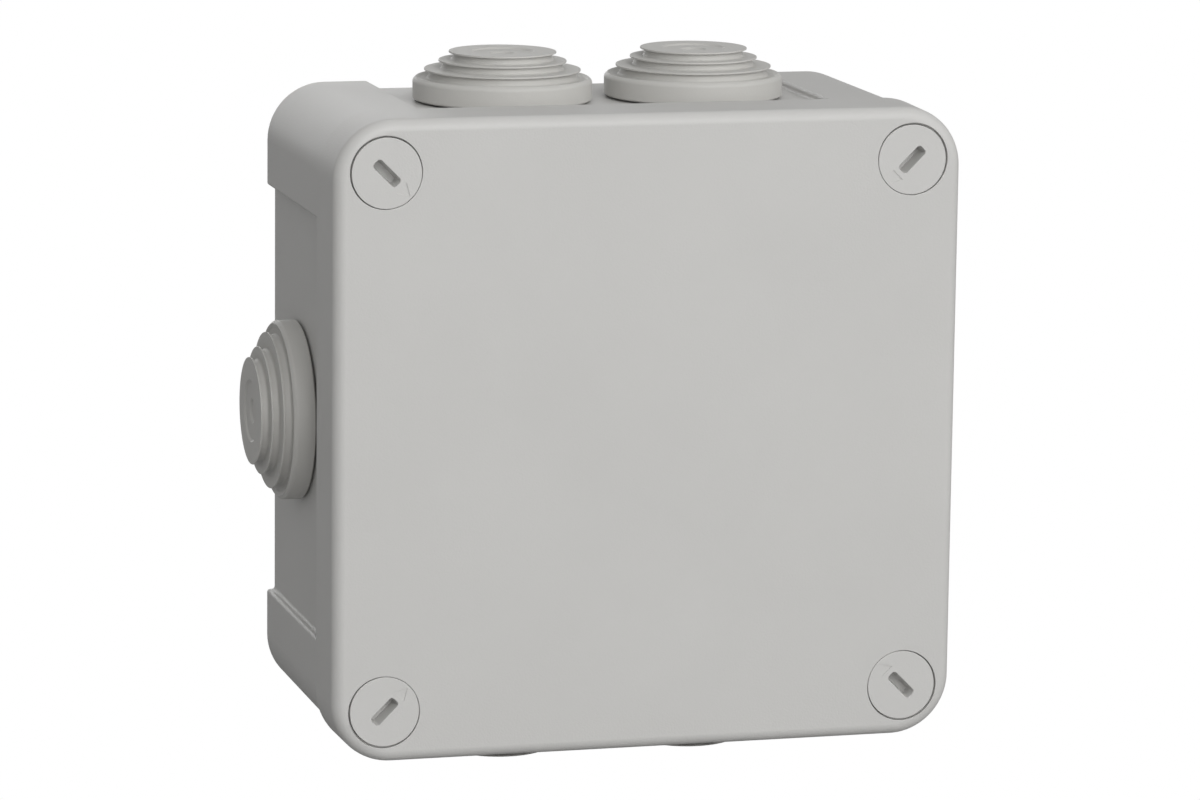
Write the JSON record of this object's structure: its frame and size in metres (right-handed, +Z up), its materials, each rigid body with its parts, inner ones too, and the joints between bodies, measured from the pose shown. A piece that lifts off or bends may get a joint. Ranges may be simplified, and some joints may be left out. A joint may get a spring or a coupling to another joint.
{
  "type": "surface-mounted junction box",
  "caption": "Square surface-mounted electrical junction box with a lift-off lid, quarter-turn corner screws, stepped push-in cable grommets and a terminal strip inside.",
  "frame": {"origin": "centre of the back face, on the wall", "axes": "+Z up, +Y into the wall, lid facing -Y, +X to the right seen from the front"},
  "size_m": [0.1178, 0.054, 0.1178],
  "materials": {
    "housing": "satin",
    "screw_plastic": "satin",
    "grommet": "matte",
    "gasket": "matte",
    "cap_plastic": "satin",
    "terminal_plastic": "satin",
    "brass": "satin",
    "steel": "zinc plated"
  },
  "bodies": {
    "base": {"base_box": "housing", "grommet_top_left": "grommet", "grommet_top_right": "grommet", "grommet_bottom_left": "grommet", "grommet_bottom_right": "grommet", "grommet_left": "grommet", "grommet_right_upper": "grommet", "grommet_right_lower": "grommet", "fixing_cap_top_left": "cap_plastic", "fixing_cap_top_right": "cap_plastic", "fixing_cap_bottom_left": "cap_plastic", "fixing_cap_bottom_right": "cap_plastic", "terminal_strip_body": "terminal_plastic", "terminal_clamp_1": "brass", "terminal_clamp_2": "brass", "terminal_clamp_3": "brass", "terminal_clamp_4": "brass", "terminal_clamp_5": "brass", "strip_screw_left": "steel", "strip_screw_right": "steel"},
    "lid": {"lid": "housing", "lid_gasket": "gasket"},
    "lid_screw_top_left": {"lid_screw_top_left": "screw_plastic"},
    "lid_screw_top_right": {"lid_screw_top_right": "screw_plastic"},
    "lid_screw_bottom_left": {"lid_screw_bottom_left": "screw_plastic"},
    "lid_screw_bottom_right": {"lid_screw_bottom_right": "screw_plastic"},
    "clamp_screw_1_upper": {"clamp_screw_1_upper": "steel"},
    "clamp_screw_1_lower": {"clamp_screw_1_lower": "steel"},
    "clamp_screw_2_upper": {"clamp_screw_2_upper": "steel"},
    "clamp_screw_2_lower": {"clamp_screw_2_lower": "steel"},
    "clamp_screw_3_upper": {"clamp_screw_3_upper": "steel"},
    "clamp_screw_3_lower": {"clamp_screw_3_lower": "steel"},
    "clamp_screw_4_upper": {"clamp_screw_4_upper": "steel"},
    "clamp_screw_4_lower": {"clamp_screw_4_lower": "steel"},
    "clamp_screw_5_upper": {"clamp_screw_5_upper": "steel"},
    "clamp_screw_5_lower": {"clamp_screw_5_lower": "steel"}
  },
  "joints": [
    {"name": "lid_lift", "type": "slide", "parent": "base", "child": "lid", "axis": [0, -1, 0], "range_m": [0, 0.08]},
    {"name": "lid_screw_top_left_turn", "type": "hinge", "parent": "lid", "child": "lid_screw_top_left", "pos_m": [-0.0438, -0.054, 0.0438], "axis": [0, 1, 0], "range_deg": [0, 90]},
    {"name": "lid_screw_top_right_turn", "type": "hinge", "parent": "lid", "child": "lid_screw_top_right", "pos_m": [0.0438, -0.054, 0.0438], "axis": [0, 1, 0], "range_deg": [0, 90]},
    {"name": "lid_screw_bottom_left_turn", "type": "hinge", "parent": "lid", "child": "lid_screw_bottom_left", "pos_m": [-0.0438, -0.054, -0.0438], "axis": [0, 1, 0], "range_deg": [0, 90]},
    {"name": "lid_screw_bottom_right_turn", "type": "hinge", "parent": "lid", "child": "lid_screw_bottom_right", "pos_m": [0.0438, -0.054, -0.0438], "axis": [0, 1, 0], "range_deg": [0, 90]},
    {"name": "clamp_screw_1_upper_turn", "type": "hinge", "parent": "base", "child": "clamp_screw_1_upper", "pos_m": [-0.0212, -0.0192, 0.0047], "axis": [0, 1, 0], "continuous": true},
    {"name": "clamp_screw_1_lower_turn", "type": "hinge", "parent": "base", "child": "clamp_screw_1_lower", "pos_m": [-0.0212, -0.0192, -0.0047], "axis": [0, 1, 0], "continuous": true},
    {"name": "clamp_screw_2_upper_turn", "type": "hinge", "parent": "base", "child": "clamp_screw_2_upper", "pos_m": [-0.0106, -0.0192, 0.0047], "axis": [0, 1, 0], "continuous": true},
    {"name": "clamp_screw_2_lower_turn", "type": "hinge", "parent": "base", "child": "clamp_screw_2_lower", "pos_m": [-0.0106, -0.0192, -0.0047], "axis": [0, 1, 0], "continuous": true},
    {"name": "clamp_screw_3_upper_turn", "type": "hinge", "parent": "base", "child": "clamp_screw_3_upper", "pos_m": [0, -0.0192, 0.0047], "axis": [0, 1, 0], "continuous": true},
    {"name": "clamp_screw_3_lower_turn", "type": "hinge", "parent": "base", "child": "clamp_screw_3_lower", "pos_m": [0, -0.0192, -0.0047], "axis": [0, 1, 0], "continuous": true},
    {"name": "clamp_screw_4_upper_turn", "type": "hinge", "parent": "base", "child": "clamp_screw_4_upper", "pos_m": [0.0106, -0.0192, 0.0047], "axis": [0, 1, 0], "continuous": true},
    {"name": "clamp_screw_4_lower_turn", "type": "hinge", "parent": "base", "child": "clamp_screw_4_lower", "pos_m": [0.0106, -0.0192, -0.0047], "axis": [0, 1, 0], "continuous": true},
    {"name": "clamp_screw_5_upper_turn", "type": "hinge", "parent": "base", "child": "clamp_screw_5_upper", "pos_m": [0.0212, -0.0192, 0.0047], "axis": [0, 1, 0], "continuous": true},
    {"name": "clamp_screw_5_lower_turn", "type": "hinge", "parent": "base", "child": "clamp_screw_5_lower", "pos_m": [0.0212, -0.0192, -0.0047], "axis": [0, 1, 0], "continuous": true}
  ]
}
